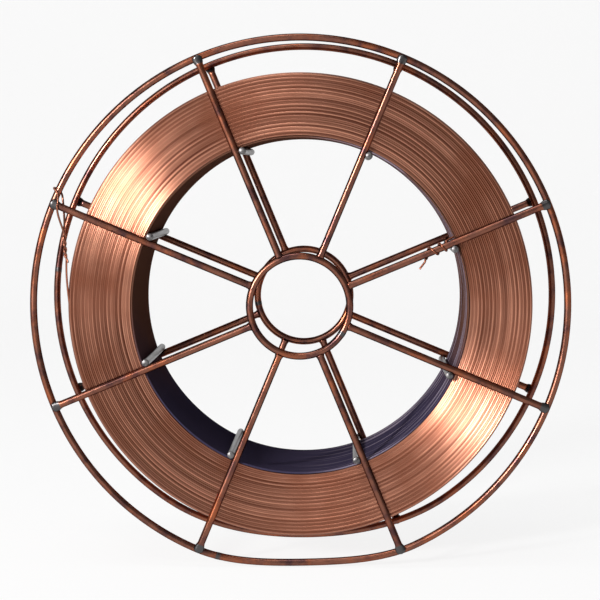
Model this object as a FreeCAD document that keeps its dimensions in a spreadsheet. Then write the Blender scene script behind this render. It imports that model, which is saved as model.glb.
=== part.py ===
import FreeCAD, Part
import math
import os

import Sketcher

# Wire basket spool of copper coated welding wire, standing on its two rims.
#
# Two flat flanges of 4 mm wire, each a rim ring, a hub ring and eight spokes, are held
# apart by eight straight crossbars. A thin liner lies round the crossbars and the
# welding wire is wound on it between the flanges.
#
# The spool is drawn with its axle along its own Z, the front flange at +Z and its top
# at +Y. STANDING then turns the front flange to -Y and the top to +Z. The origin is
# the centre of the spool, on the axle.

V = FreeCAD.Vector
STANDING = FreeCAD.Placement(V(0, 0, 0), FreeCAD.Rotation(V(1, 0, 0), 90))

doc = FreeCAD.newDocument("welding_wire_spool")

# ---------------------------------------------------------------- driving dimensions
DIMENSIONS = [
    ("spool_width", 100.0, "over the outer faces of the two flanges"),
    ("rim_outer_radius", 150.0, "outside of the rim rings"),
    ("rod_diameter", 4.0, "wire that the basket is welded from"),
    ("hub_bore_radius", 25.75, "inside of the hub rings"),
    ("rim_set_in", 2.6, "rim ring's centre plane, inboard of the spokes' centre plane"),
    ("spoke_count", 8, "spokes in each flange, and crossbars"),
    ("first_spoke_angle", 22.5, "degrees anticlockwise from +X, seen from the front"),
    ("spoke_end_gap", 0.8, "spoke's outer end to the outside of the rim"),
    ("nugget_radius", 2.6, "squashed spoke end over the rim"),
    ("nugget_height", 3.0, "thickness of the squashed end"),
    ("nugget_flattening", 0.4, "how far it is pressed below the spoke's crown"),
    ("bar_circle_radius", 91.2, "centres of the crossbars"),
    ("bar_diameter", 4.0, "crossbar wire"),
    ("bar_set_down", 0.4, "how far a crossbar is pressed into the side of its spoke"),
    ("liner_clearance", 0.05, "crossbars to liner"),
    ("liner_wall", 0.7, "liner thickness"),
    ("coil_outer_radius", 129.0, "outside of the wound wire"),
    ("coil_side_clearance", 0.4, "coil and liner to the spokes, each side"),
    ("coil_corner", 1.6, "rounding of the coil's outer edges"),
    ("welding_wire_diameter", 1.2, "the wound wire"),
    ("wire_gap", 0.1, "tied wire to what it is tied round"),
    ("front_dent_depth", 4.5, "how far the front rim is pushed in"),
    ("front_dent_half_angle", 24.0, "half of its flattened stretch, degrees"),
    ("back_dent_depth", 3.8, "how far the back rim is pushed in"),
    ("back_dent_half_angle", 30.0, "half of its flattened stretch, degrees"),
    ("dent_direction", 271.5, "where both rims are flattened, degrees"),
    ("dent_corner_radius", 60.0, "bend at each end of a flattened stretch"),
    ("tie_first_radius", 87.0, "outermost turn of the inner wire end on its spoke"),
    ("tie_pitch", 7.6, "spacing of those turns along the spoke"),
    ("tie_turns", 2.5, "turns round the spoke"),
]
sheet = doc.addObject("Spreadsheet::Sheet", "Dims")
for row, (alias, value, note) in enumerate(DIMENSIONS, start=1):
    sheet.set(f"A{row}", alias)
    sheet.set(f"B{row}", str(value))
    sheet.set(f"C{row}", note)
    sheet.setAlias(f"B{row}", alias)
doc.recompute()


def size(alias):
    """One driving dimension, read back from the sheet."""
    return float(sheet.get(alias))


# ---------------------------------------------------------------- derived dimensions
DERIVED = [
    ("rod_radius", "rod_diameter / 2"),
    ("bar_radius", "bar_diameter / 2"),
    ("rim_radius", "rim_outer_radius - rod_radius"),
    ("hub_radius", "hub_bore_radius + rod_radius"),
    ("spoke_plane", "spool_width / 2 - rod_radius"),
    ("rim_plane", "spoke_plane - rim_set_in"),
    ("spoke_inner", "hub_radius"),
    ("nugget_centre", "rim_outer_radius - spoke_end_gap - nugget_radius"),
    ("nugget_plane", "spoke_plane + rod_radius - nugget_flattening - nugget_height"),
    ("spoke_length", "nugget_centre - spoke_inner"),
    ("bar_offset", "rod_radius + bar_radius - bar_set_down"),
    ("liner_inner", "bar_circle_radius + bar_radius + liner_clearance"),
    ("liner_outer", "liner_inner + liner_wall"),
    ("coil_width", "2 * (spoke_plane - rod_radius - coil_side_clearance)"),
    ("wire_radius", "welding_wire_diameter / 2"),
]
for row, (alias, formula) in enumerate(DERIVED, start=len(DIMENSIONS) + 2):
    sheet.set(f"A{row}", alias)
    sheet.set(f"B{row}", "=" + formula)
    sheet.setAlias(f"B{row}", alias)
doc.recompute()

SPOKES = int(size("spoke_count"))
STEP_ANGLE = 360.0 / SPOKES
FLANGES = {"front": 1, "back": -1}
pieces = []


def piece(obj, label):
    """Names an object, stands it with the rest of the spool and lists it for export."""
    obj.Label = label
    obj.Placement = STANDING.multiply(obj.Placement)
    pieces.append(obj)
    return obj


def helper(kind, name, place=None, **sizes):
    """A Part primitive in the spool's own frame, each size bound to a sheet formula."""
    obj = doc.addObject(kind, name)
    for prop, formula in sizes.items():
        obj.setExpression(prop, formula)
    if place is not None:
        obj.Placement = place
    return obj


def origin_plane(body, role):
    """One of a body's own origin planes."""
    return next(f for f in body.Origin.OriginFeatures if f.Role == role)


def sketch_on(body, name, role):
    """A sketch lying on one of its body's origin planes."""
    sketch = body.newObject("Sketcher::SketchObject", name)
    sketch.AttachmentSupport = (origin_plane(body, role), [""])
    sketch.MapMode = "FlatFace"
    return sketch


def bound(sketch, constraint, formula):
    """Adds one dimension to a sketch and binds it to the sheet."""
    index = sketch.addConstraint(constraint)
    sketch.setExpression(f"Constraints[{index}]", formula)
    return index


# ---------------------------------------------------------------- rim and hub rings
# A ring is one length of rod rolled round and butt welded. Three of them are round.
def round_ring(label, centreline, plane, side):
    """A closed ring of rod about the axle, its section a circle."""
    ring = helper(
        "Part::Torus", label, FreeCAD.Placement(V(0, 0, side * size(plane)), FreeCAD.Rotation()),
        Radius1=f"Dims.{centreline}", Radius2="Dims.rod_radius",
    )
    return piece(ring, label)


# Both rims have been pressed in where the spool was set down, between their two lowest
# spokes. A rim's centreline is the rim circle, then a tighter bend, a nearly flat stretch
# and the same bend again, each tangent to the next.
def dent_geometry(flange):
    """Centres and radii of the four arcs, with the dent pointing along -Y."""
    rim, bend, depth = size("rim_radius"), size("dent_corner_radius"), size(f"{flange}_dent_depth")
    half = math.radians(size(f"{flange}_dent_half_angle"))
    reach = rim - bend
    sink = rim - depth - reach * math.cos(half)
    flat = (reach * math.sin(half)) ** 2 + sink ** 2 - bend ** 2
    flat /= 2 * (sink - bend)
    turn = math.asin(reach * math.sin(half) / (flat - bend))
    return rim, bend, flat, half, turn, reach


def dented_rim(flange):
    """Rod swept along the rim circle with one flattened stretch."""
    label = f"{flange}_rim_ring"
    rim, bend, flat, half, turn, reach = dent_geometry(flange)
    body = doc.addObject("PartDesign::Body", label)
    path = sketch_on(body, label + "_path", "XY_Plane")
    down = -math.pi / 2
    left = V(-reach * math.sin(half), -reach * math.cos(half), 0)
    right = V(reach * math.sin(half), -reach * math.cos(half), 0)
    top = V(0, flat - (rim - size(f"{flange}_dent_depth")), 0)
    normal = V(0, 0, 1)
    arcs = [
        (V(0, 0, 0), rim, down + half, down + 2 * math.pi - half),
        (left, bend, down - half, down - turn),
        (top, flat, down - turn, down + turn),
        (right, bend, down + turn, down + half),
    ]
    for centre, radius, start, end in arcs:
        path.addGeometry(Part.ArcOfCircle(Part.Circle(centre, normal, radius), start, end), False)
    profile = sketch_on(body, label + "_section", "XZ_Plane")
    profile.addGeometry(Part.Circle(V(rim, 0, 0), normal, size("rod_radius")), False)
    sweep = body.newObject("PartDesign::AdditivePipe", label + "_sweep")
    for first, second in ((0, 1), (1, 2), (2, 3), (3, 0)):
        path.addConstraint(Sketcher.Constraint("Tangent", first, 2, second, 1))
    path.addConstraint(Sketcher.Constraint("Coincident", 0, 3, -1, 1))
    path.addConstraint(Sketcher.Constraint("PointOnObject", 2, 3, -2))
    path.addConstraint(Sketcher.Constraint("Equal", 1, 3))
    bound(path, Sketcher.Constraint("Radius", 0, rim), "Dims.rim_radius")
    bound(path, Sketcher.Constraint("Radius", 1, bend), "Dims.dent_corner_radius")
    path.addConstraint(Sketcher.Constraint("Radius", 2, flat))
    profile.addConstraint(Sketcher.Constraint("PointOnObject", 0, 3, -1))
    bound(profile, Sketcher.Constraint("Radius", 0, size("rod_radius")), "Dims.rod_radius")
    bound(profile, Sketcher.Constraint("DistanceX", -1, 1, 0, 3, rim), "Dims.rim_radius")
    doc.recompute()
    sweep.Profile = (profile, [""])
    sweep.Spine = (path, [f"Edge{n}" for n in range(1, len(arcs) + 1)])
    body.Tip = sweep
    turned = FreeCAD.Rotation(V(0, 0, 1), size("dent_direction") - 270)
    body.Placement = FreeCAD.Placement(V(0, 0, FLANGES[flange] * size("rim_plane")), turned)
    return piece(body, label)


rims = {flange: dented_rim(flange) for flange in FLANGES}
hubs = {
    name: round_ring(f"{name}_hub_ring", "hub_radius", "spoke_plane", side)
    for name, side in FLANGES.items()
}


# ---------------------------------------------------------------- spokes
# A spoke is a straight rod. Its inner end butts on the outside of the hub ring, and its
# outer end is pressed flat over the rim ring, so both rings cut it to their own shape.
def spoke(flange, number):
    side = FLANGES[flange]
    angle = size("first_spoke_angle") + (number - 1) * STEP_ANGLE
    outward = V(math.cos(math.radians(angle)), math.sin(math.radians(angle)), 0)
    label = f"{flange}_spoke_{number}"
    along = FreeCAD.Rotation(V(0, 0, 1), outward)
    rod = helper(
        "Part::Cylinder", label + "_rod",
        STANDING.multiply(FreeCAD.Placement(
            outward * size("spoke_inner") + V(0, 0, side * size("spoke_plane")), along)),
        Radius="Dims.rod_radius", Height="Dims.spoke_length",
    )
    nugget = helper(
        "Part::Cylinder", label + "_nugget",
        STANDING.multiply(FreeCAD.Placement(
            outward * size("nugget_centre") + V(0, 0, side * size("nugget_plane")),
            FreeCAD.Rotation(V(0, 0, 1), angle + 90).multiply(
                FreeCAD.Rotation(V(1, 0, 0), 90 - 90 * side)))),
        Radius="Dims.nugget_radius", Height="Dims.nugget_height",
    )
    blank = doc.addObject("Part::Fuse", label + "_blank")
    blank.Base, blank.Tool = rod, nugget
    trimmed = doc.addObject("Part::Cut", label + "_trimmed")
    trimmed.Base, trimmed.Tool = blank, rims[flange]
    cut = doc.addObject("Part::Cut", label)
    cut.Base, cut.Tool = trimmed, hubs[flange]
    cut.Label = label
    pieces.append(cut)
    return cut


spokes = {
    (flange, number): spoke(flange, number)
    for flange in FLANGES
    for number in range(1, SPOKES + 1)
}


# ---------------------------------------------------------------- crossbars
# Each crossbar runs the full width of the spool. It lies on the clockwise side of its
# two spokes and is pressed a little into them where it is welded.
for number in range(1, SPOKES + 1):
    angle = math.radians(size("first_spoke_angle") + (number - 1) * STEP_ANGLE)
    outward = V(math.cos(angle), math.sin(angle), 0)
    clockwise = V(math.sin(angle), -math.cos(angle), 0)
    reach = math.sqrt(size("bar_circle_radius") ** 2 - size("bar_offset") ** 2)
    foot = outward * reach + clockwise * size("bar_offset")
    label = f"crossbar_{number}"
    rod = helper(
        "Part::Cylinder", label + "_rod",
        STANDING.multiply(FreeCAD.Placement(
            foot - V(0, 0, size("spool_width") / 2), FreeCAD.Rotation())),
        Radius="Dims.bar_radius", Height="Dims.spool_width",
    )
    fitted = doc.addObject("Part::Cut", label + "_fitted")
    fitted.Base, fitted.Tool = rod, spokes["front", number]
    cut = doc.addObject("Part::Cut", label)
    cut.Base, cut.Tool = fitted, spokes["back", number]
    cut.Label = label
    pieces.append(cut)


# ---------------------------------------------------------------- liner
liner = doc.addObject("PartDesign::Body", "core_liner")
ring_sketch = sketch_on(liner, "core_liner_section", "XY_Plane")
for index, alias in enumerate(("liner_inner", "liner_outer")):
    ring_sketch.addGeometry(Part.Circle(V(0, 0, 0), V(0, 0, 1), size(alias)), False)
    ring_sketch.addConstraint(Sketcher.Constraint("Coincident", index, 3, -1, 1))
    bound(ring_sketch, Sketcher.Constraint("Radius", index, size(alias)), f"Dims.{alias}")
tube = liner.newObject("PartDesign::Pad", "core_liner_tube")
tube.Profile = (ring_sketch, [""])
tube.Midplane = True
tube.setExpression("Length", "Dims.coil_width")
piece(liner, "core_liner")


# ---------------------------------------------------------------- wound wire
# The winding is one solid ring of wire with its two outer edges eased.
coil = doc.addObject("PartDesign::Body", "wire_coil")
section = sketch_on(coil, "wire_coil_section", "XZ_Plane")
inner, outer = size("liner_outer"), size("coil_outer_radius")
half_width, ease = size("coil_width") / 2, size("coil_corner")
corners = [
    V(inner, -half_width, 0), V(outer - ease, -half_width, 0), V(outer, ease - half_width, 0),
    V(outer, half_width - ease, 0), V(outer - ease, half_width, 0), V(inner, half_width, 0),
]
for start, end in zip(corners, corners[1:] + corners[:1]):
    section.addGeometry(Part.LineSegment(start, end), False)
for index in range(len(corners)):
    section.addConstraint(
        Sketcher.Constraint("Coincident", index, 2, (index + 1) % len(corners), 1))
for index, direction in ((0, "Horizontal"), (2, "Vertical"), (4, "Horizontal")):
    section.addConstraint(Sketcher.Constraint(direction, index))
section.addConstraint(Sketcher.Constraint("Symmetric", 0, 1, 4, 2, -1))
section.addConstraint(Sketcher.Constraint("Equal", 1, 3))
bound(section, Sketcher.Constraint("DistanceX", -1, 1, 0, 1, inner), "Dims.liner_outer")
bound(section, Sketcher.Constraint("DistanceX", -1, 1, 2, 1, outer), "Dims.coil_outer_radius")
bound(section, Sketcher.Constraint("DistanceY", 0, 1, 4, 2, 2 * half_width), "Dims.coil_width")
bound(section, Sketcher.Constraint("DistanceX", 0, 2, 2, 1, ease), "Dims.coil_corner")
bound(section, Sketcher.Constraint("DistanceY", 0, 2, 2, 1, ease), "Dims.coil_corner")
turned_coil = coil.newObject("PartDesign::Revolution", "wire_coil_turned")
turned_coil.Profile = (section, [""])
turned_coil.ReferenceAxis = (section, ["V_Axis"])
turned_coil.Angle = 360
piece(coil, "wire_coil")


# ---------------------------------------------------------------- the two wire ends
def bent_wire(label, points, radius):
    """Wire along straight runs joined by tangent arcs, one arc at each inner point.

    Each arc takes 0.45 of the shorter of its two runs."""
    edges, here, bends = [], points[0], []
    for before, at, after in zip(points, points[1:], points[2:]):
        back, ahead = (before - at), (after - at)
        run = 0.45 * min(back.Length, ahead.Length)
        back.normalize()
        ahead.normalize()
        start, end = at + back * run, at + ahead * run
        half_turn = (math.pi - back.getAngle(ahead)) / 2
        bends.append(run / math.tan(half_turn))
        inward = (back + ahead).normalize()
        reach = bends[-1] / math.cos(half_turn) - bends[-1]
        if (start - here).Length > 1e-6:
            edges.append(Part.LineSegment(here, start).toShape())
        edges.append(Part.Arc(start, at + inward * reach, end).toShape())
        here = end
    edges.append(Part.LineSegment(here, points[-1]).toShape())
    route = Part.Wire(edges)
    heading = (points[1] - points[0]).normalize()
    section_edge = Part.makeCircle(radius, points[0], heading)
    solid = route.makePipeShell([Part.Wire([section_edge])], True, True)
    expected = math.pi * radius ** 2 * route.Length
    print(f"{label}: length {route.Length:.1f} mm, smallest bend {min(bends):.2f} mm, "
          f"volume ratio {solid.Volume / expected:.4f}")
    obj = doc.addObject("Part::Feature", label)
    obj.Shape = solid
    return piece(obj, label)


WIRE = size("wire_radius")
CORNERS_PER_TURN = 8
TIE_RADIUS = size("rod_radius") + WIRE + size("wire_gap")
CORNER_RADIUS = TIE_RADIUS / math.cos(math.pi / CORNERS_PER_TURN)


# The inner end comes out of the first layer beside the liner and is wrapped round the
# first front spoke, ending in a short tip.
def inner_end_points():
    angle = math.radians(size("first_spoke_angle"))
    outward = V(math.cos(angle), math.sin(angle), 0)
    aside = V(-math.sin(angle), math.cos(angle), 0)
    centre = V(0, 0, size("spoke_plane"))
    points = []
    steps = int(round(size("tie_turns") * CORNERS_PER_TURN))
    for step in range(steps + 1):
        turn = 2 * math.pi * step / CORNERS_PER_TURN + math.pi / CORNERS_PER_TURN
        radial = size("tie_first_radius") - size("tie_pitch") * step / CORNERS_PER_TURN
        points.append(
            centre + outward * radial
            + aside * (CORNER_RADIUS * math.cos(turn)) - V(0, 0, CORNER_RADIUS * math.sin(turn)))
    start = centre + outward * (size("tie_first_radius") + 1.5) + aside * 7.0 - V(0, 0, 5.0)
    tip = points[-1] + outward * -3.5 + aside * -3.0 + V(0, 0, 0.8)
    return [start] + points + [tip]


bent_wire("wire_inner_end", inner_end_points(), WIRE)


# The outer end leaves the last layer, goes behind the fourth front spoke and hooks round
# the rim ring just beyond it, from the inside to the front.
def outer_end_points():
    angle = size("first_spoke_angle") + 3 * STEP_ANGLE

    def at(radius, degrees, depth):
        a = math.radians(degrees)
        return V(radius * math.cos(a), radius * math.sin(a), depth)

    rim, plane = size("rim_radius"), size("rim_plane")
    around = size("rod_radius") + WIRE + size("wire_gap") + 0.35
    leave = size("coil_outer_radius") + WIRE
    lift = (rim - leave) / 16.0
    return [
        at(leave + 0.2, angle + 24.0, plane - 8.0),
        at(leave + 0.4, angle + 17.0, plane - 5.5),
        at(leave + 2.2 * lift, angle + 11.5, plane - 4.6),
        at(leave + 6.0 * lift, angle + 6.0, plane - 3.4),
        at(rim - around - 1.6, angle + 1.2, plane - 1.8),
        at(rim - around, angle - 2.0, plane - 0.6),
        at(rim - 1.5, angle - 3.0, plane - around),
        at(rim + around * 0.8, angle - 3.2, plane - around * 0.8),
        at(rim + around, angle - 3.0, plane + 0.6),
        at(rim + around * 0.2, angle - 2.6, plane + around),
    ]


bent_wire("wire_outer_end", outer_end_points(), WIRE)

# ---------------------------------------------------------------- checks and export
doc.recompute()
for obj in doc.Objects:
    for state in ("Invalid", "Error"):
        if state in obj.State:
            raise RuntimeError(f"{obj.Label} is {state}")
for obj in pieces:
    if obj.Shape.isNull() or not obj.Shape.isValid():
        raise RuntimeError(f"{obj.Label} has no valid shape")
    if len(obj.Shape.Solids) != 1:
        raise RuntimeError(f"{obj.Label} is {len(obj.Shape.Solids)} solids")

os.makedirs("parts", exist_ok=True)
for obj in pieces:
    obj.Shape.exportStep(f"parts/{obj.Label}.step")
print(f"{len(pieces)} pieces")
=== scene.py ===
import bmesh
import bpy
import mathutils
import numpy as np
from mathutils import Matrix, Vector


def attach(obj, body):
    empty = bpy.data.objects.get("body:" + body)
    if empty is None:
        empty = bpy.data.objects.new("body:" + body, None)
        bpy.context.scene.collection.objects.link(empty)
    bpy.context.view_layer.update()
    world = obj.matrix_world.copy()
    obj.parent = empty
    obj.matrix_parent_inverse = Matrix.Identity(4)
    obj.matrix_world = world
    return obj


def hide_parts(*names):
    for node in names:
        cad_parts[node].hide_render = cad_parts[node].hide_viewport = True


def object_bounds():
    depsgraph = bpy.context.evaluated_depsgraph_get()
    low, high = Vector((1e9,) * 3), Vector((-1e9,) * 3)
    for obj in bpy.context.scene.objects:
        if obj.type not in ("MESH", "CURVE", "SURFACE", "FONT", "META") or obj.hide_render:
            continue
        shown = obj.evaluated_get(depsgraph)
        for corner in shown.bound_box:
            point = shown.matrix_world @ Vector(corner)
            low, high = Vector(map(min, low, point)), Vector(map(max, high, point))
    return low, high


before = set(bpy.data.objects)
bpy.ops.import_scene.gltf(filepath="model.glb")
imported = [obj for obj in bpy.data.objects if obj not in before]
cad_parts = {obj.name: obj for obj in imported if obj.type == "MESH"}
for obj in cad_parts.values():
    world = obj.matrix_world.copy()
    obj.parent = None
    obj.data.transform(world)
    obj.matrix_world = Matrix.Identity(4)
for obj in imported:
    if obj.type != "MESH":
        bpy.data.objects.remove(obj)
cad_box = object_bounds()

# Rim and hub rings: the four closed rings of the two flanges.
# 4 mm drawn steel rod with a thin dark copper plating, rolled round and butt welded.
# Every spoke joint has burnt the plating: grey at the weld, blue-black beside it.
MM = 0.001
ROD = 2.0 * MM
RIM_CENTRELINE = 148.0 * MM
HUB_CENTRELINE = 27.75 * MM
SPOKE_PLANE = 48.0 * MM
RIM_PLANE = 45.4 * MM
SPOOL_HALF_WIDTH = 50.0 * MM
SPOKE_ANGLES = np.radians(22.5 + 45.0 * np.arange(8))
FLANGES = {"front": 1.0, "back": -1.0}
SEAM_SWELL = 0.07
SEAM_HALF_LENGTH = 1.6 * MM
NECK_THINNING = 0.02
NECK_HALF_LENGTH = 4.0 * MM
SEAM_HEAT_HALF_LENGTH = 7.0 * MM
DENT_DIRECTION = np.radians(271.5)
DENT_SHARPNESS = 1.7


def spool_point(right, up, forward):
    """Spool measures to the standing frame: right is +X, up is +Z, the front face is -Y."""
    return np.stack(np.broadcast_arrays(right, -np.asarray(forward), up), axis=-1)


def skin(name, grid, wrap_rows, wrap_cols, marks=None):
    """Joins a grid of points into quads, each point with the next in its row and column.

    A wrapped direction joins its last line to its first, and points that fall on one
    another, as at a closed end, are merged. The faces are turned so that the signed
    volume, the sum of corner . (edge x edge) about the skin's middle, is positive."""
    rows, cols = grid.shape[:2]
    index = np.arange(rows * cols).reshape(rows, cols)
    if wrap_rows:
        index = np.vstack([index, index[:1]])
    if wrap_cols:
        index = np.hstack([index, index[:, :1]])
    quads = np.stack([index[:-1, :-1], index[1:, :-1], index[1:, 1:], index[:-1, 1:]], axis=-1)
    quads = quads.reshape(-1, 4)
    points = grid.reshape(-1, 3)
    a, b, c, d = (points[quads[:, n]] for n in range(4))
    middle = points.mean(axis=0)
    if np.einsum("ij,ij->i", a - middle, np.cross(c - a, d - b)).sum() < 0:
        quads = quads[:, ::-1]
    mesh = bpy.data.meshes.new(name)
    mesh.vertices.add(len(points))
    mesh.vertices.foreach_set("co", points.ravel())
    mesh.loops.add(quads.size)
    mesh.loops.foreach_set("vertex_index", quads.ravel().astype(np.int32))
    mesh.polygons.add(len(quads))
    mesh.polygons.foreach_set("loop_start", np.arange(0, quads.size, 4, dtype=np.int32))
    mesh.update(calc_edges=True)
    mesh.validate()
    mesh.polygons.foreach_set("use_smooth", np.ones(len(mesh.polygons), dtype=bool))
    for mark, values in (marks or {}).items():
        layer = mesh.attributes.new(mark, "FLOAT", "POINT")
        layer.data.foreach_set("value", np.broadcast_to(values, (rows, cols)).ravel())
    joined = bmesh.new()
    joined.from_mesh(mesh)
    bmesh.ops.remove_doubles(joined, verts=joined.verts, dist=0.001 * MM)
    joined.to_mesh(mesh)
    joined.free()
    piece = bpy.data.objects.new(name, mesh)
    bpy.context.scene.collection.objects.link(piece)
    return piece


def angle_off(angles, target):
    """Distance round the circle between angles, at most half a turn."""
    return np.abs((angles - target + np.pi) % (2 * np.pi) - np.pi)


def ring_rod(name, reach, plane, seam, heat_half_length, steps, around=20):
    """Rod round the axle: a circle of the rod's radius carried round at the reach.

    The reach may change with the angle. The butt weld at the seam swells the rod a
    little, and heat falls off as a bell curve along the rod from each spoke's joint."""
    turn = np.linspace(0, 2 * np.pi, steps, endpoint=False)
    centre = reach(turn)
    mean = float(centre.mean())
    section = np.linspace(0, 2 * np.pi, around, endpoint=False)
    seam_run = angle_off(turn, seam) * mean
    seam_bell = np.exp(-((seam_run / SEAM_HALF_LENGTH) ** 2))
    neck_bell = np.exp(-((seam_run / NECK_HALF_LENGTH) ** 2))
    thick = ROD * (1 + SEAM_SWELL * seam_bell - NECK_THINNING * neck_bell)
    radius = centre[:, None] + thick[:, None] * np.cos(section)
    forward = plane + thick[:, None] * np.sin(section)
    forward = np.clip(forward, -SPOOL_HALF_WIDTH, SPOOL_HALF_WIDTH)
    grid = spool_point(radius * np.cos(turn)[:, None], radius * np.sin(turn)[:, None], forward)
    joint_run = np.min([angle_off(turn, a) for a in SPOKE_ANGLES], axis=0) * mean
    heat = np.exp(-((joint_run / heat_half_length) ** 2))
    heat = np.maximum(heat, np.exp(-((seam_run / SEAM_HEAT_HALF_LENGTH) ** 2)))
    return skin(name, grid, True, True, {"heat": heat[:, None], "bare": seam_bell[:, None]})


def round_reach(centreline):
    """A plain circle."""
    return lambda turn: np.full_like(turn, centreline)


def dented_reach(depth, half_angle):
    """The rim circle pushed in where it was set down.

    It loses the depth times a power of the cosine, which runs from the dent's middle to
    nothing at the half angle on both sides."""
    def reach(turn):
        off = np.minimum(angle_off(turn, DENT_DIRECTION) / half_angle, 1.0)
        return RIM_CENTRELINE - depth * np.cos(0.5 * np.pi * off) ** DENT_SHARPNESS
    return reach


def shader_tools(material):
    """A small bench for one material's node tree: make nodes and join sockets."""
    tree = material.node_tree
    tree.nodes.clear()

    def node(kind, **settings):
        made = tree.nodes.new(kind)
        for key, value in settings.items():
            setattr(made, key, value)
        return made

    def join(source, target):
        tree.links.new(source, target)

    return node, join


def mixed(node, join, factor, first, second):
    """A colour mix. Each of the two colours is a socket or four numbers."""
    mix = node("ShaderNodeMix", data_type="RGBA")
    for socket, value in ((mix.inputs[0], factor), (mix.inputs[6], first), (mix.inputs[7], second)):
        if isinstance(value, bpy.types.NodeSocket):
            join(value, socket)
        else:
            socket.default_value = value
    return mix.outputs[2]


def noise(node, join, scale, detail=3.0, stretch=None, rough=0.5):
    """Noise in object space, optionally squeezed along an axis."""
    place = node("ShaderNodeTexCoord").outputs["Object"]
    if stretch is not None:
        mapping = node("ShaderNodeMapping")
        mapping.inputs["Scale"].default_value = stretch
        join(place, mapping.inputs["Vector"])
        place = mapping.outputs["Vector"]
    cloud = node("ShaderNodeTexNoise")
    cloud.inputs["Scale"].default_value = scale
    cloud.inputs["Detail"].default_value = detail
    cloud.inputs["Roughness"].default_value = rough
    join(place, cloud.inputs["Vector"])
    return cloud.outputs["Fac"]


def ramp(node, join, source, low, high, out_low=0.0, out_high=1.0):
    """Stretches a value between two limits, smoothly."""
    spread = node("ShaderNodeMapRange", interpolation_type="SMOOTHSTEP")
    for key, value in (("From Min", low), ("From Max", high), ("To Min", out_low), ("To Max", out_high)):
        spread.inputs[key].default_value = value
    join(source, spread.inputs["Value"])
    return spread.outputs["Result"]


def plated_rod_material():
    """Copper plated rod: brown copper, redder where rubbed, dark where heat has reached."""
    material = bpy.data.materials.new("plated_basket_rod")
    material.use_nodes = True
    node, join = shader_tools(material)
    wear_and_painted_reflection = ramp(node, join, noise(node, join, 55.0, 4.0), 0.45, 0.68)
    blotch = ramp(node, join, noise(node, join, 130.0, 3.0), 0.4, 0.75)
    plating = mixed(node, join, wear_and_painted_reflection, (0.215, 0.088, 0.058, 1), (0.31, 0.095, 0.045, 1))
    plating = mixed(node, join, blotch, plating, (0.085, 0.040, 0.040, 1))
    heat = node("ShaderNodeAttribute", attribute_name="heat").outputs["Fac"]
    heat_edge = node("ShaderNodeMath", operation="MULTIPLY_ADD")
    join(noise(node, join, 240.0, 2.0), heat_edge.inputs[0])
    heat_edge.inputs[1].default_value = 0.5
    join(heat, heat_edge.inputs[2])
    tinted = mixed(node, join, ramp(node, join, heat_edge.outputs[0], 0.45, 0.9),
                   plating, (0.055, 0.046, 0.054, 1))
    bare = node("ShaderNodeAttribute", attribute_name="bare").outputs["Fac"]
    colour = mixed(node, join, ramp(node, join, bare, 0.35, 0.8), tinted, (0.085, 0.080, 0.080, 1))
    shader = node("ShaderNodeBsdfPrincipled")
    shader.inputs["Metallic"].default_value = 1.0
    shader.inputs["Specular Tint"].default_value = (0.10, 0.055, 0.05, 1)
    join(colour, shader.inputs["Base Color"])
    handled = ramp(node, join, noise(node, join, 90.0, 4.0), 0.3, 0.7, 0.22, 0.36)
    join(handled, shader.inputs["Roughness"])
    bump = node("ShaderNodeBump")
    bump.inputs["Strength"].default_value = 0.25
    bump.inputs["Distance"].default_value = 0.0002
    join(noise(node, join, 420.0, 3.0), bump.inputs["Height"])
    join(bump.outputs["Normal"], shader.inputs["Normal"])
    join(shader.outputs["BSDF"], node("ShaderNodeOutputMaterial").inputs["Surface"])
    return material


plated_rod = plated_rod_material()
DENTS = {"front": (4.5 * MM, np.radians(24.0)), "back": (3.8 * MM, np.radians(33.0))}
RIM_HEAT, HUB_HEAT = 8.0 * MM, 4.5 * MM
SEAMS = {"front_rim": 252.0, "back_rim": 174.0, "front_hub": 327.0, "back_hub": 190.0}
for flange, side in FLANGES.items():
    rim_reach = dented_reach(*DENTS[flange])
    for part, reach, plane, heated in (
        ("rim", rim_reach, side * RIM_PLANE, RIM_HEAT),
        ("hub", round_reach(HUB_CENTRELINE), side * SPOKE_PLANE, HUB_HEAT),
    ):
        seam = np.radians(SEAMS[f"{flange}_{part}"])
        steps = 512 if part == "rim" else 192
        ring = ring_rod(f"{flange}_{part}_rod", reach, plane, seam, heated, steps)
        ring.data.materials.append(plated_rod)
        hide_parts(f"{flange}_{part}_ring")
        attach(ring, "root")

# Spokes: sixteen straight rods, eight to a flange.
# The same plated rod. The inner end is butt welded to the hub ring, and the outer end
# is pressed flat over the rim ring between two electrodes.
SPOKE_INNER = 29.4 * MM
SPOKE_OUTER = 149.3 * MM
NUGGET_AT = 146.9 * MM
NUGGET_HALF_WIDTH = 2.75 * MM
NUGGET_HALF_LENGTH = 2.6 * MM
NUGGET_SQUASH = 0.75 * MM
NUGGET_STANDOFF = 0.45 * MM
HUB_WELD_HALF_LENGTH = 1.1 * MM
HUB_WELD_SWELL = 0.45 * MM
TIP_LENGTH = 1.7 * MM
FLAT_SHARE = 0.93
SPOKE_BEND = 0.12 * MM
SPOKE_BEND_LENGTH = 118.0 * MM


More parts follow.
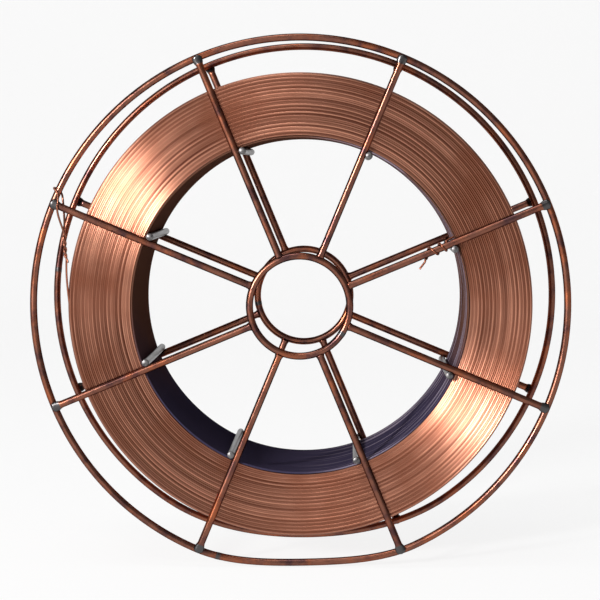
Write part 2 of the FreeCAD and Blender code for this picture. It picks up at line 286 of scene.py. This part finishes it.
def spoke_rod(name, angle, side, seed, around=20):
    """Rod along a radius: an oval section carried outwards.

    Its half width swells in a bell over the rim while its half thickness shrinks, and
    both swell a little at the hub weld. It bends aside by half a sine wave, its crowns
    are cut flat, and its ends close to a point on the centreline."""
    chance = np.random.default_rng(seed)
    lengths = [np.linspace(SPOKE_INNER, SPOKE_INNER + 4 * MM, 14),
               np.linspace(SPOKE_INNER + 6 * MM, NUGGET_AT - 8 * MM, 24),
               np.linspace(NUGGET_AT - 6 * MM, SPOKE_OUTER, 36)]
    run = np.concatenate(lengths)
    hub_bell = np.exp(-(((run - SPOKE_INNER) / HUB_WELD_HALF_LENGTH) ** 2))
    rim_bell = np.exp(-(((run - NUGGET_AT) / NUGGET_HALF_LENGTH) ** 4))
    half_width = ROD + HUB_WELD_SWELL * hub_bell + (NUGGET_HALF_WIDTH - ROD) * rim_bell
    half_depth = ROD + 0.05 * MM * hub_bell - NUGGET_SQUASH * rim_bell
    forward = side * (SPOKE_PLANE + NUGGET_STANDOFF * rim_bell)
    into_tip = (run - (SPOKE_OUTER - TIP_LENGTH)) / (TIP_LENGTH + 0.02 * MM)
    closing = np.where(into_tip > 0, np.sqrt(np.clip(1 - into_tip ** 2, 0, 1)), 1.0)
    half_width, half_depth = half_width * closing, half_depth * (0.35 + 0.65 * closing)
    run = np.concatenate([run[:1], run, run[-1:]])
    half_width = np.concatenate([[0], half_width, [0]])
    half_depth = np.concatenate([[0], half_depth, [0]])
    forward = np.concatenate([forward[:1], forward, forward[-1:]])
    section = np.linspace(0, 2 * np.pi, around, endpoint=False)
    bend = SPOKE_BEND * chance.uniform(-1, 1) * np.sin(np.pi * (run - SPOKE_INNER) / SPOKE_BEND_LENGTH)
    across = half_width[:, None] * np.cos(section) + bend[:, None]
    depth = half_depth[:, None] * np.sin(section)
    squashed = np.sign(depth) * np.minimum(np.abs(depth), (FLAT_SHARE * half_depth)[:, None])
    right = run[:, None] * np.cos(angle) - across * np.sin(angle)
    up = run[:, None] * np.sin(angle) + across * np.cos(angle)
    grid = spool_point(right, up, forward[:, None] + squashed)
    heat = np.exp(-(((run - NUGGET_AT) / (8.0 * MM)) ** 2))
    heat = np.maximum(heat, np.exp(-(((run - SPOKE_INNER) / (7.0 * MM)) ** 2)))
    bare = np.exp(-(((run - NUGGET_AT) / (3.0 * MM)) ** 4))
    return skin(name, grid, False, True, {"heat": heat[:, None], "bare": bare[:, None]})


for flange, side in FLANGES.items():
    for number, angle in enumerate(SPOKE_ANGLES, start=1):
        spoke = spoke_rod(f"{flange}_spoke_rod_{number}", angle, side, number + 10 * (side > 0))
        spoke.data.materials.append(plated_rod)
        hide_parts(f"{flange}_spoke_{number}")
        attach(spoke, "root")

# Crossbars: eight rods that hold the flanges apart and carry the coil.
# Bare drawn steel, cut flush with the spokes' outer faces and welded to the side of a
# front and a back spoke. Handling has left them a little bent.
BAR = 2.0 * MM
BAR_CIRCLE = 91.2 * MM
BAR_OFFSET = 3.6 * MM
BAR_HALF_LENGTH = 50.0 * MM
BAR_BEVEL = 0.25 * MM
BAR_WELD_AT = 48.0 * MM
BAR_WELD_HEAT = 4.0 * MM
BAR_BOW = np.array([0.0, 0.35, 0.0, 0.1, 0.5, 0.0, 0.3, 0.2]) * MM


def crossbar_rod(name, angle, bow, around=20):
    """Rod along the axle: a circle carried from flange to flange.

    It bows inwards by half a sine wave, and its cut ends have a small bevel."""
    run = np.linspace(-BAR_HALF_LENGTH, BAR_HALF_LENGTH, 41)
    ends = np.concatenate([run[:1], run[:1], run, run[-1:], run[-1:]])
    ends[2] += BAR_BEVEL
    ends[-3] -= BAR_BEVEL
    radius = np.full(len(ends), BAR)
    radius[[1, -2]] -= BAR_BEVEL
    radius[[0, -1]] = 0
    bowed = bow * np.cos(np.pi * ends / (2 * BAR_HALF_LENGTH))
    reach = np.sqrt(BAR_CIRCLE ** 2 - BAR_OFFSET ** 2) - bowed
    section = np.linspace(0, 2 * np.pi, around, endpoint=False)
    out = reach[:, None] + radius[:, None] * np.cos(section)
    aside = -BAR_OFFSET + radius[:, None] * np.sin(section)
    grid = spool_point(out * np.cos(angle) - aside * np.sin(angle),
                       out * np.sin(angle) + aside * np.cos(angle), ends[:, None])
    weld = np.exp(-(((np.abs(ends) - BAR_WELD_AT) / BAR_WELD_HEAT) ** 2))
    return skin(name, grid, False, True, {"heat": weld[:, None]})


def bare_steel_material():
    """Drawn steel: grey, with faint die lines along the rod and brown heat at the welds."""
    material = bpy.data.materials.new("bare_steel_rod")
    material.use_nodes = True
    node, join = shader_tools(material)
    lines = ramp(node, join, noise(node, join, 700.0, 2.0, stretch=(1, 0.04, 1)), 0.3, 0.7)
    steel = mixed(node, join, lines, (0.10, 0.095, 0.098, 1), (0.20, 0.19, 0.188, 1))
    heat = node("ShaderNodeAttribute", attribute_name="heat").outputs["Fac"]
    colour = mixed(node, join, ramp(node, join, heat, 0.3, 1.0), steel, (0.075, 0.052, 0.046, 1))
    shader = node("ShaderNodeBsdfPrincipled")
    shader.inputs["Metallic"].default_value = 1.0
    join(colour, shader.inputs["Base Color"])
    join(ramp(node, join, lines, 0.0, 1.0, 0.34, 0.48), shader.inputs["Roughness"])
    join(shader.outputs["BSDF"], node("ShaderNodeOutputMaterial").inputs["Surface"])
    return material


bare_steel = bare_steel_material()
for number, (angle, bow) in enumerate(zip(SPOKE_ANGLES, BAR_BOW), start=1):
    bar = crossbar_rod(f"crossbar_rod_{number}", angle, bow)
    bar.data.materials.append(bare_steel)
    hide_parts(f"crossbar_{number}")
    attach(bar, "root")

# Core liner: the strip round the crossbars that the wire was wound on.
# Thin dark board. It bears on the crossbars and is clamped by the winding.
LINER_INNER = 93.25 * MM
LINER_OUTER = 93.95 * MM
LINER_HALF_WIDTH = 45.6 * MM
LINER_SAG = 0.18 * MM


def liner_tube(name, steps=256):
    """Strip round the axle: a thin rectangle carried round in a circle.

    Between crossbars the strip is drawn a hair flatter by the winding."""
    turn = np.linspace(0, 2 * np.pi, steps, endpoint=False)
    sag = LINER_SAG * np.sin(4 * (turn - SPOKE_ANGLES[0])) ** 2
    across = np.linspace(-LINER_HALF_WIDTH, LINER_HALF_WIDTH, 24)
    inner = np.stack([np.full_like(across, LINER_INNER), across], axis=-1)
    outer = np.stack([np.full_like(across, LINER_OUTER), across[::-1]], axis=-1)
    profile = np.concatenate([inner, outer])
    radius = profile[:, 0] - sag[:, None]
    return skin(name, spool_point(radius * np.cos(turn)[:, None], radius * np.sin(turn)[:, None],
                                  np.broadcast_to(profile[:, 1], radius.shape)), True, True)


def liner_material():
    """Dark board: brown above and a painted slate sky reflection below, with pale painted reflection
    streaks the way it was wound, on its right side.
    """
    material = bpy.data.materials.new("dark_liner_board")
    material.use_nodes = True
    node, join = shader_tools(material)
    height = node("ShaderNodeSeparateXYZ")
    join(node("ShaderNodeTexCoord").outputs["Object"], height.inputs[0])
    # Painted reflection: slate below, blended by height into the board's own brown above.
    sky_reflection_blend = node("ShaderNodeMath", operation="MULTIPLY_ADD")
    join(noise(node, join, 14.0, 3.0), sky_reflection_blend.inputs[0])
    sky_reflection_blend.inputs[1].default_value = 0.06
    join(height.outputs["Z"], sky_reflection_blend.inputs[2])
    colour = mixed(node, join, ramp(node, join, sky_reflection_blend.outputs[0], -0.03, 0.03),
                   (0.040, 0.033, 0.062, 1), (0.105, 0.046, 0.030, 1))
    # Painted reflection: pale lilac streaks round the strip, only on its right side.
    wear_and_painted_reflection = node("ShaderNodeMath", operation="MULTIPLY")
    reflection_streaks = noise(node, join, 9.0, 4.0, stretch=(1, 26, 1))
    join(ramp(node, join, reflection_streaks, 0.50, 0.62), wear_and_painted_reflection.inputs[0])
    join(ramp(node, join, height.outputs["X"], -0.01, 0.07), wear_and_painted_reflection.inputs[1])
    colour = mixed(node, join, wear_and_painted_reflection.outputs[0], colour, (0.30, 0.25, 0.32, 1))
    shader = node("ShaderNodeBsdfPrincipled")
    join(colour, shader.inputs["Base Color"])
    shader.inputs["Specular IOR Level"].default_value = 0.0
    worn = ramp(node, join, noise(node, join, 40.0, 3.0), 0.3, 0.7, 0.7, 0.9)
    join(worn, shader.inputs["Roughness"])
    join(shader.outputs["BSDF"], node("ShaderNodeOutputMaterial").inputs["Surface"])
    return material


liner = liner_tube("core_liner_strip")
liner.data.materials.append(liner_material())
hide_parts("core_liner")
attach(liner, "root")

# Wound wire: thirty three layers of copper coated welding wire.
# 1.2 mm wire wound tight, each layer lying in the grooves of the one below, so that
# every second layer stands a little proud at the flanges.
WIRE = 0.6 * MM
COIL_INNER = 94.0 * MM
COIL_OUTER = 129.0 * MM
COIL_HALF_WIDTH = 45.6 * MM
LAYER_RISE = 2 * WIRE * np.sqrt(3) / 2
LAYERS = int((COIL_OUTER - COIL_INNER - 2 * WIRE) / LAYER_RISE) + 1
SLOW_WAVES = 4


def slow_wander(chance, count, angles, waves, amount):
    """One smooth random curve round the coil for each layer: a few sine waves added up."""
    wave = chance.integers(1, waves, (count, 5))
    phase = chance.uniform(0, 2 * np.pi, (count, 5, 1))
    size = chance.normal(0, 1, (count, 5, 1)) / np.sqrt(5)
    return amount * (size * np.sin(wave[:, :, None] * angles + phase)).sum(axis=1)


CROWN_SWEEP = np.radians([-56, -28, 0, 28, 56])
CROWN_SPREAD = 0.92
SECOND_RING_SINK = 0.22 * WIRE
FACE_CLEARANCE = 0.08 * MM
RING_WANDER = 0.035 * MM
FACE_WANDER = 0.045 * MM
SLACK_SHARE = 0.2
SLACK_DEPTH = 0.14 * MM
SHADE_ROUND_A_RING = 0.24
SHADE_RING_TO_RING = 0.26
# Painted shade on every sunk ring and painted light on every proud ring, added to their tint.
SUNK_RING_PAINTED_SHADE = -0.50
PROUD_RING_PAINTED_LIGHT = 0.25
CORNER_WIDTH = 2.2 * MM
CORNER_DROP = 1.4 * MM
TUCK_IN = 1.6 * MM
TUCK_DEPTH = 3.0 * MM


def coil_end(name, side, seed, steps=384):
    """End of the coil: rings of wire seen side on, one to a layer.

    Across each ring the skin is the crown of the wire's own circle, and every second
    ring lies a little deeper and is darkened by painted shade, the proud rings lightened by
    painted light. The centre of each ring wanders slowly round the coil, and the skin's two edges are
    tucked under the liner and the last layer."""
    chance = np.random.default_rng(seed)
    turn = np.linspace(0, 2 * np.pi, steps, endpoint=False)
    layer = np.arange(LAYERS)
    centre = COIL_INNER + WIRE + LAYER_RISE * layer[:, None]
    centre = centre + slow_wander(chance, LAYERS, turn, SLOW_WAVES, RING_WANDER)
    sunk = np.where(layer % 2, SECOND_RING_SINK, 0.0)[:, None]
    height = COIL_HALF_WIDTH - WIRE - FACE_CLEARANCE - sunk
    height = height + slow_wander(chance, LAYERS, turn, SLOW_WAVES, FACE_WANDER)
    slack = (chance.random(LAYERS) < SLACK_SHARE)[:, None] * SLACK_DEPTH
    height = height - slack * (1 + np.sin(turn + chance.uniform(0, 6, (LAYERS, 1)))) / 2
    shade = slow_wander(chance, LAYERS, turn, SLOW_WAVES, SHADE_ROUND_A_RING)
    shade = shade + chance.normal(0, SHADE_RING_TO_RING, (LAYERS, 1))
    # Painted shade on the sunk rings, painted light on the proud ones.
    shade = shade + np.where(layer % 2, SUNK_RING_PAINTED_SHADE, PROUD_RING_PAINTED_LIGHT)[:, None]
    radius, face, tint = [], [], []
    for n in layer:
        radius.append(centre[n] + CROWN_SPREAD * WIRE * np.sin(CROWN_SWEEP)[:, None])
        face.append(height[n] + WIRE * np.cos(CROWN_SWEEP)[:, None])
        tint.append(np.broadcast_to(shade[n], radius[-1].shape))
    radius, face, tint = (np.concatenate(part) for part in (radius, face, tint))
    face = np.minimum(face, COIL_HALF_WIDTH - 0.02 * MM)
    rolled = np.clip((radius - (COIL_OUTER - CORNER_WIDTH)) / CORNER_WIDTH, 0, 1)
    face = face - CORNER_DROP * rolled ** 2
    radius, face, tint = (np.concatenate([v[:1], v, v[-1:]]) for v in (radius, face, tint))
    radius[0], radius[-1] = COIL_INNER, COIL_OUTER - TUCK_IN
    face[[0, -1]] = COIL_HALF_WIDTH - TUCK_DEPTH
    grid = spool_point(radius * np.cos(turn), radius * np.sin(turn), side * face)
    return skin(name, grid, False, True, {"tint": tint, "depth": COIL_HALF_WIDTH - face})


TURN_SWEEP = np.radians([-75, -42, 0, 42, 75])
TURN_CLEARANCE = 0.14 * MM
TURN_LIFT = 0.05 * MM
SHADE_TURN_TO_TURN = 0.42
LAST_TURN_INSET = 0.5 * MM
EDGE_WIDTH = 1.4 * MM
EDGE_DROP = 1.3 * MM


def coil_outside(name, seed, steps=250):
    """Outside of the coil: the last layer's turns, laid as a helix one wire apart.

    Across each turn the skin is an arc of the wire's own circle, and the turn's centre
    moves on by one wire in one turn round the coil, so its end is the next one's start."""
    chance = np.random.default_rng(seed)
    turn = np.linspace(0, 2 * np.pi, steps + 1)
    turns = int(2 * COIL_HALF_WIDTH / (2 * WIRE))
    number = np.repeat(np.arange(turns), len(TURN_SWEEP))
    offset = np.tile(WIRE * np.sin(TURN_SWEEP), turns)
    crown = np.tile(WIRE * np.cos(TURN_SWEEP), turns)
    passed = turn / (2 * np.pi)
    along = -COIL_HALF_WIDTH + 2 * WIRE * (number[:, None] + passed) + offset[:, None]
    shade = chance.normal(0, SHADE_TURN_TO_TURN, (turns + 1, 1))
    shade = (shade[:-1] * (1 - passed) + shade[1:] * passed)[number]
    lift = slow_wander(chance, turns + 1, turn, SLOW_WAVES, TURN_LIFT)
    lift = (lift[:-1] * (1 - passed) + lift[1:] * passed)[number]
    radius = COIL_OUTER - WIRE - TURN_CLEARANCE + crown[:, None] + lift
    limit = COIL_HALF_WIDTH - LAST_TURN_INSET
    edge = np.clip((np.abs(along) - (limit - EDGE_WIDTH)) / EDGE_WIDTH, 0, 1)
    radius = np.minimum(radius, COIL_OUTER - 0.02 * MM) - EDGE_DROP * edge ** 2
    along = np.clip(along, -limit, limit)
    grid = spool_point(radius * np.cos(turn), radius * np.sin(turn), along)
    return skin(name, grid, False, False, {"tint": shade, "depth": COIL_OUTER - radius})


def wound_wire_material():
    """Bright copper coating: each turn its own shade, with painted shade making it dull brown down in
    the grooves.
    """
    material = bpy.data.materials.new("copper_coated_wire")
    material.use_nodes = True
    node, join = shader_tools(material)
    tint = node("ShaderNodeAttribute", attribute_name="tint").outputs["Fac"]
    colour = mixed(node, join, ramp(node, join, tint, -1.2, 1.2),
                   (0.140, 0.047, 0.029, 1), (0.66, 0.30, 0.195, 1))
    patch = ramp(node, join, noise(node, join, 18.0, 3.0), 0.4, 0.7)
    colour = mixed(node, join, patch, colour, (0.27, 0.092, 0.052, 1))
    # Painted shade: darker brown the deeper the skin lies below the coil's face, in the grooves and
    # round the rolled edges.
    depth = node("ShaderNodeAttribute", attribute_name="depth").outputs["Fac"]
    colour = mixed(node, join, ramp(node, join, depth, 0.0004, 0.0012, 0.0, 0.6),
                   colour, (0.085, 0.035, 0.028, 1))
    shader = node("ShaderNodeBsdfPrincipled")
    shader.inputs["Metallic"].default_value = 1.0
    join(colour, shader.inputs["Base Color"])
    shader.inputs["Anisotropic"].default_value = 0.88
    shader.inputs["Anisotropic Rotation"].default_value = 0.25
    along_wire = node("ShaderNodeTangent", direction_type="RADIAL", axis="Y")
    join(along_wire.outputs["Tangent"], shader.inputs["Tangent"])
    drawn = ramp(node, join, noise(node, join, 60.0, 2.0), 0.3, 0.7, 0.28, 0.34)
    join(drawn, shader.inputs["Roughness"])
    join(shader.outputs["BSDF"], node("ShaderNodeOutputMaterial").inputs["Surface"])
    return material


copper_wire = wound_wire_material()
for coil in (coil_end("coil_front_end", 1.0, 3), coil_end("coil_back_end", -1.0, 4),
             coil_outside("coil_outer_layer", 5)):
    coil.data.materials.append(copper_wire)
    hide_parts("wire_coil")
    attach(coil, "root")

# Wire ends: the first and last few centimetres of the wound wire, left out and tied.
# The inner end is wrapped on a front spoke, and the outer end round the front rim.
TIE = WIRE * 0.98
TIE_SHADE = -0.5
WRAP_RADIUS = 2.85
TWIST_SWING = 0.62


def smooth_path(corners, steps=12):
    """A uniform cubic B-spline that rounds off the corners, its two ends held in place."""
    held = np.concatenate([[2 * corners[0] - corners[1]], corners, [2 * corners[-1] - corners[-2]]])
    t = np.linspace(0, 1, steps, endpoint=False)
    blend = np.stack([(1 - t) ** 3, 3 * t ** 3 - 6 * t ** 2 + 4,
                      -3 * t ** 3 + 3 * t ** 2 + 3 * t + 1, t ** 3]) / 6
    spans = np.stack([held[n:len(held) - 3 + n] for n in range(4)])
    path = np.einsum("kt,ksx->stx", blend, spans).reshape(-1, 3)
    return np.concatenate([path, corners[-1:]])


def bent_tie(name, corners, around=10):
    """Wire along a bent path: a circle carried along it with no twist of its own.

    Each station's first direction is the last station's, made square to the new tangent."""
    path = smooth_path(corners)
    tangent = np.gradient(path, axis=0)
    tangent /= np.linalg.norm(tangent, axis=1, keepdims=True)
    first = np.zeros_like(tangent)
    last = np.cross(tangent[0], (0.3, 0.5, 0.8))
    for station, ahead in enumerate(tangent):
        last = last - ahead * (last @ ahead)
        last = last / np.linalg.norm(last)
        first[station] = last
    second = np.cross(tangent, first)
    section = np.linspace(0, 2 * np.pi, around, endpoint=False)[:, None]
    radius = np.full(len(path) + 2, TIE)
    radius[[0, -1]] = 0
    path, first, second = (np.concatenate([v[:1], v, v[-1:]]) for v in (path, first, second))
    ring = first[:, None] * np.cos(section) + second[:, None] * np.sin(section)
    grid = path[:, None] + radius[:, None, None] * ring
    grid = spool_point(grid[..., 0], grid[..., 1], grid[..., 2])
    tint = np.full((len(path), 1), TIE_SHADE)
    return skin(name, grid, False, True, {"tint": tint, "depth": 0 * tint})


def inner_tie_corners():
    """Round the first spoke: a helix that opens as it goes in, then the cut tip sticking out.

    Its corners are in millimetres: along the spoke, aside from it, and forward."""
    wrapped = np.arange(0, 2.56, 0.125)
    along = 88.0 - 3.2 * wrapped - 1.0 * wrapped ** 2
    angle = 2 * np.pi * wrapped + 0.6
    aside, forward = WRAP_RADIUS * np.cos(angle), SPOKE_PLANE / MM - WRAP_RADIUS * np.sin(angle)
    local = np.stack([along, aside, forward], axis=-1)
    start = np.array([[96.5, 2.9, 43.6], [93.5, 2.8, 44.2], [90.5, 2.7, 45.2]])
    tip = np.array([[73.6, -3.6, 49.6], [71.6, -4.6, 49.9], [69.0, -6.2, 50.0]])
    local = np.concatenate([start, local, tip]) * MM
    turn = SPOKE_ANGLES[0]
    return np.stack([local[:, 0] * np.cos(turn) - local[:, 1] * np.sin(turn),
                     local[:, 0] * np.sin(turn) + local[:, 1] * np.cos(turn), local[:, 2]], axis=-1)


def outer_tie_corners():
    """Up from the last layer, round the front rim by the fourth spoke, down again, and the
    two strands twisted together: each a helix about their common middle line.

    Its corners are in millimetres: right, up and forward of the spool's centre."""
    twist = np.linspace(0, 1, 13)
    middle = np.stack([-130.0 - 0.7 * twist, 27.5 + 12.5 * twist, 45.2 + 0 * twist], axis=-1)
    angle = 3.4 * np.pi * twist
    swing = TWIST_SWING * np.stack([np.cos(angle), 0 * angle, np.sin(angle)], axis=-1)
    rising = np.array([[-127.6, -5.0, 43.4], [-128.4, 2.0, 43.8],
                       [-129.3, 11.0, 44.4], [-129.8, 20.0, 44.8]])
    loop = np.array([[-130.4, 46.0, 44.9], [-130.9, 53.0, 44.6], [-131.4, 58.5, 44.0],
                     [-131.9, 62.0, 42.9], [-133.8, 64.2, 42.5], [-135.9, 65.4, 43.6],
                     [-136.3, 65.2, 46.4], [-134.8, 63.8, 48.2], [-133.0, 61.6, 48.8],
                     [-133.4, 57.6, 50.4], [-134.0, 53.6, 50.7],
                     [-133.0, 48.6, 49.4], [-131.8, 44.0, 46.9]])
    cut = np.array([[-129.0, 25.6, 45.6], [-128.6, 23.8, 46.0]])
    return np.concatenate([rising, middle + swing, loop, (middle - swing)[::-1], cut]) * MM


for end, corners in (("wire_inner_end", inner_tie_corners()),
                     ("wire_outer_end", outer_tie_corners())):
    tie = bent_tie(end.replace("wire", "tied"), corners)
    tie.data.materials.append(copper_wire)
    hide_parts(end)
    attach(tie, "root")

# Stage: a white floor under the rims that runs up into a white backdrop.
# One sheet of paper, curved behind the spool. A small key lamp at the left gives the
# glare on the wire, and two large weak ones fill the rest.
FLOOR_LEVEL = float(cad_box[0][2])
PAPER_FRONT, PAPER_BACK, PAPER_TOP = -14.0, 1.6, 3.0
PAPER_HALF_WIDTH = 14.0
PAPER_BEND = 0.8
PAPER_GLOW_SHARE = 0.86
AIR_STRENGTH = 0.21


def white_sweep_material():
    """White paper: lit by the lamps, and white where the camera or metal sees it."""
    material = bpy.data.materials.new("white_sweep_paper")
    material.use_nodes = True
    node, join = shader_tools(material)
    paper = node("ShaderNodeBsdfDiffuse")
    paper.inputs["Color"].default_value = (0.9, 0.9, 0.9, 1)
    glow = node("ShaderNodeEmission")
    glow.inputs["Strength"].default_value = 1.0
    path = node("ShaderNodeLightPath")
    seen = node("ShaderNodeMath", operation="MAXIMUM")
    join(path.outputs["Is Camera Ray"], seen.inputs[0])
    join(path.outputs["Is Glossy Ray"], seen.inputs[1])
    share = node("ShaderNodeMath", operation="MULTIPLY")
    join(seen.outputs[0], share.inputs[0])
    share.inputs[1].default_value = PAPER_GLOW_SHARE
    mix = node("ShaderNodeMixShader")
    join(share.outputs[0], mix.inputs[0])
    join(paper.outputs[0], mix.inputs[1])
    join(glow.outputs[0], mix.inputs[2])
    join(mix.outputs[0], node("ShaderNodeOutputMaterial").inputs["Surface"])
    return material


def sweep(name):
    """Paper sweep: level floor, a quarter circle bend behind, then straight up."""
    bend = np.linspace(0, np.pi / 2, 24)
    run = PAPER_BACK + PAPER_BEND * np.sin(bend)
    run = np.concatenate([[PAPER_FRONT], run, [PAPER_BACK + PAPER_BEND]])
    rise = np.concatenate([[0.0], PAPER_BEND * (1 - np.cos(bend)), [PAPER_TOP]])
    wide = np.linspace(-PAPER_HALF_WIDTH, PAPER_HALF_WIDTH, 9)
    grid = np.stack(np.broadcast_arrays(wide[:, None], run, FLOOR_LEVEL + rise), axis=-1)
    return skin(name, grid, False, False)


paper = sweep("paper_sweep")
paper.data.materials.append(white_sweep_material())

world = bpy.data.worlds.new("studio_air")
bpy.context.scene.world = world
world.use_nodes = True
node, join = shader_tools(world)
air = node("ShaderNodeBackground")
air.inputs["Color"].default_value = (1, 1, 1, 1)
air.inputs["Strength"].default_value = AIR_STRENGTH
join(air.outputs[0], node("ShaderNodeOutputWorld").inputs["Surface"])


def soft_box(name, place, aim, width, height, watts):
    """A square studio lamp at a place, facing a point."""
    lamp = bpy.data.lights.new(name, "AREA")
    lamp.shape, lamp.size, lamp.size_y, lamp.energy = "RECTANGLE", width, height, watts
    holder = bpy.data.objects.new(name, lamp)
    holder.location = place
    towards = mathutils.Vector(aim) - holder.location
    holder.rotation_euler = towards.to_track_quat("-Z", "Y").to_euler()
    bpy.context.scene.collection.objects.link(holder)


soft_box("key_softbox", (-1.30, -1.91, 0.61), (0, 0, 0), 0.30, 0.30, 68)
soft_box("top_softbox", (-0.4, -0.5, 1.9), (0, 0, 0), 0.9, 0.9, 11)
soft_box("front_fill", (-0.3, -2.2, 1.2), (0, 0, 0), 1.2, 1.2, 4)

# Camera: level with the upper half of the spool, a little to its right.
# A long lens from a little over a metre off, aimed just above the spool's centre.
camera = bpy.data.cameras.new("camera")
camera.sensor_width = 36.0
camera.lens = 122.5
camera_holder = bpy.data.objects.new("camera", camera)
CAMERA_PLACE = (0.0305, -1.1734, 0.078)
CAMERA_AIM = (0.00015, -0.0454, 0.00325)
camera_holder.location = CAMERA_PLACE
aim = mathutils.Vector(CAMERA_AIM) - mathutils.Vector(CAMERA_PLACE)
camera_holder.rotation_euler = aim.to_track_quat("-Z", "Y").to_euler()
bpy.context.scene.collection.objects.link(camera_holder)
bpy.context.scene.camera = camera_holder
bpy.context.scene.view_settings.view_transform = "Standard"
